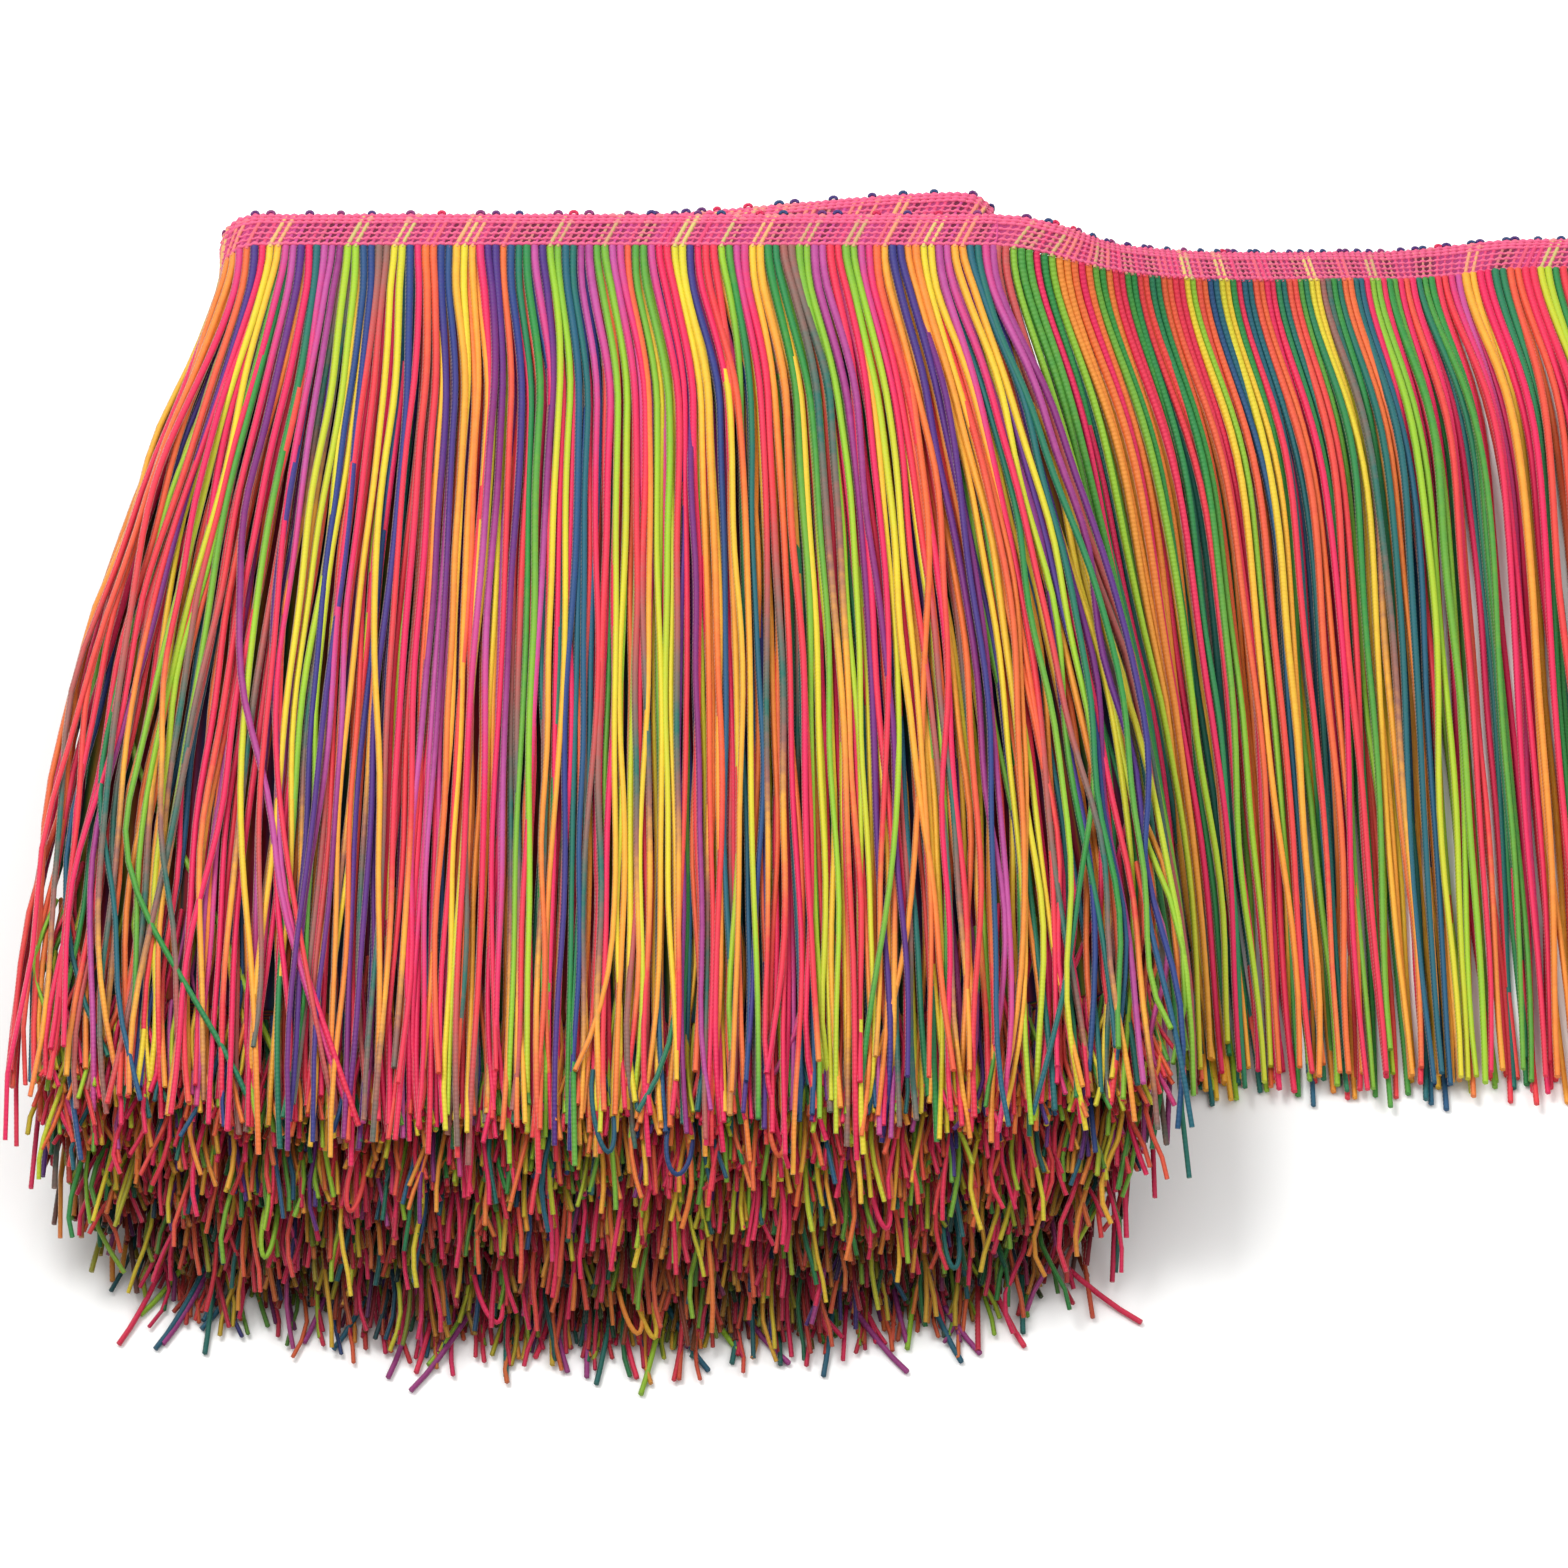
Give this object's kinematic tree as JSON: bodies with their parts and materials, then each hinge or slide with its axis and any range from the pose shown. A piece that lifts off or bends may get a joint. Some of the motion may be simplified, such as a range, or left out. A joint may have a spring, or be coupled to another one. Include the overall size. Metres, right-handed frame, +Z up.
{
  "type": "roll of tassel fringe",
  "caption": "Knitted tassel fringe wound flat on its narrow heading, with long loose strands fanning out and its loose end drawn off to one side.",
  "frame": {"origin": "middle of the bottom of the bounding box, on the table that the fringe lies on", "axes": "+X along the heading towards the loose end, -Y towards the cut ends of the strands, +Z up"},
  "size_m": [0.398, 0.336, 0.062],
  "materials": {
    "heading_yarn": "soft knitted yarn, matt with a faint sheen",
    "fringe_yarn": "smooth space-dyed cord, matt with a faint sheen"
  },
  "bodies": {
    "root": {"wound_heading": "heading_yarn", "wound_fringe": "fringe_yarn", "loose_heading": "heading_yarn", "loose_fringe": "fringe_yarn"}
  },
  "joints": []
}
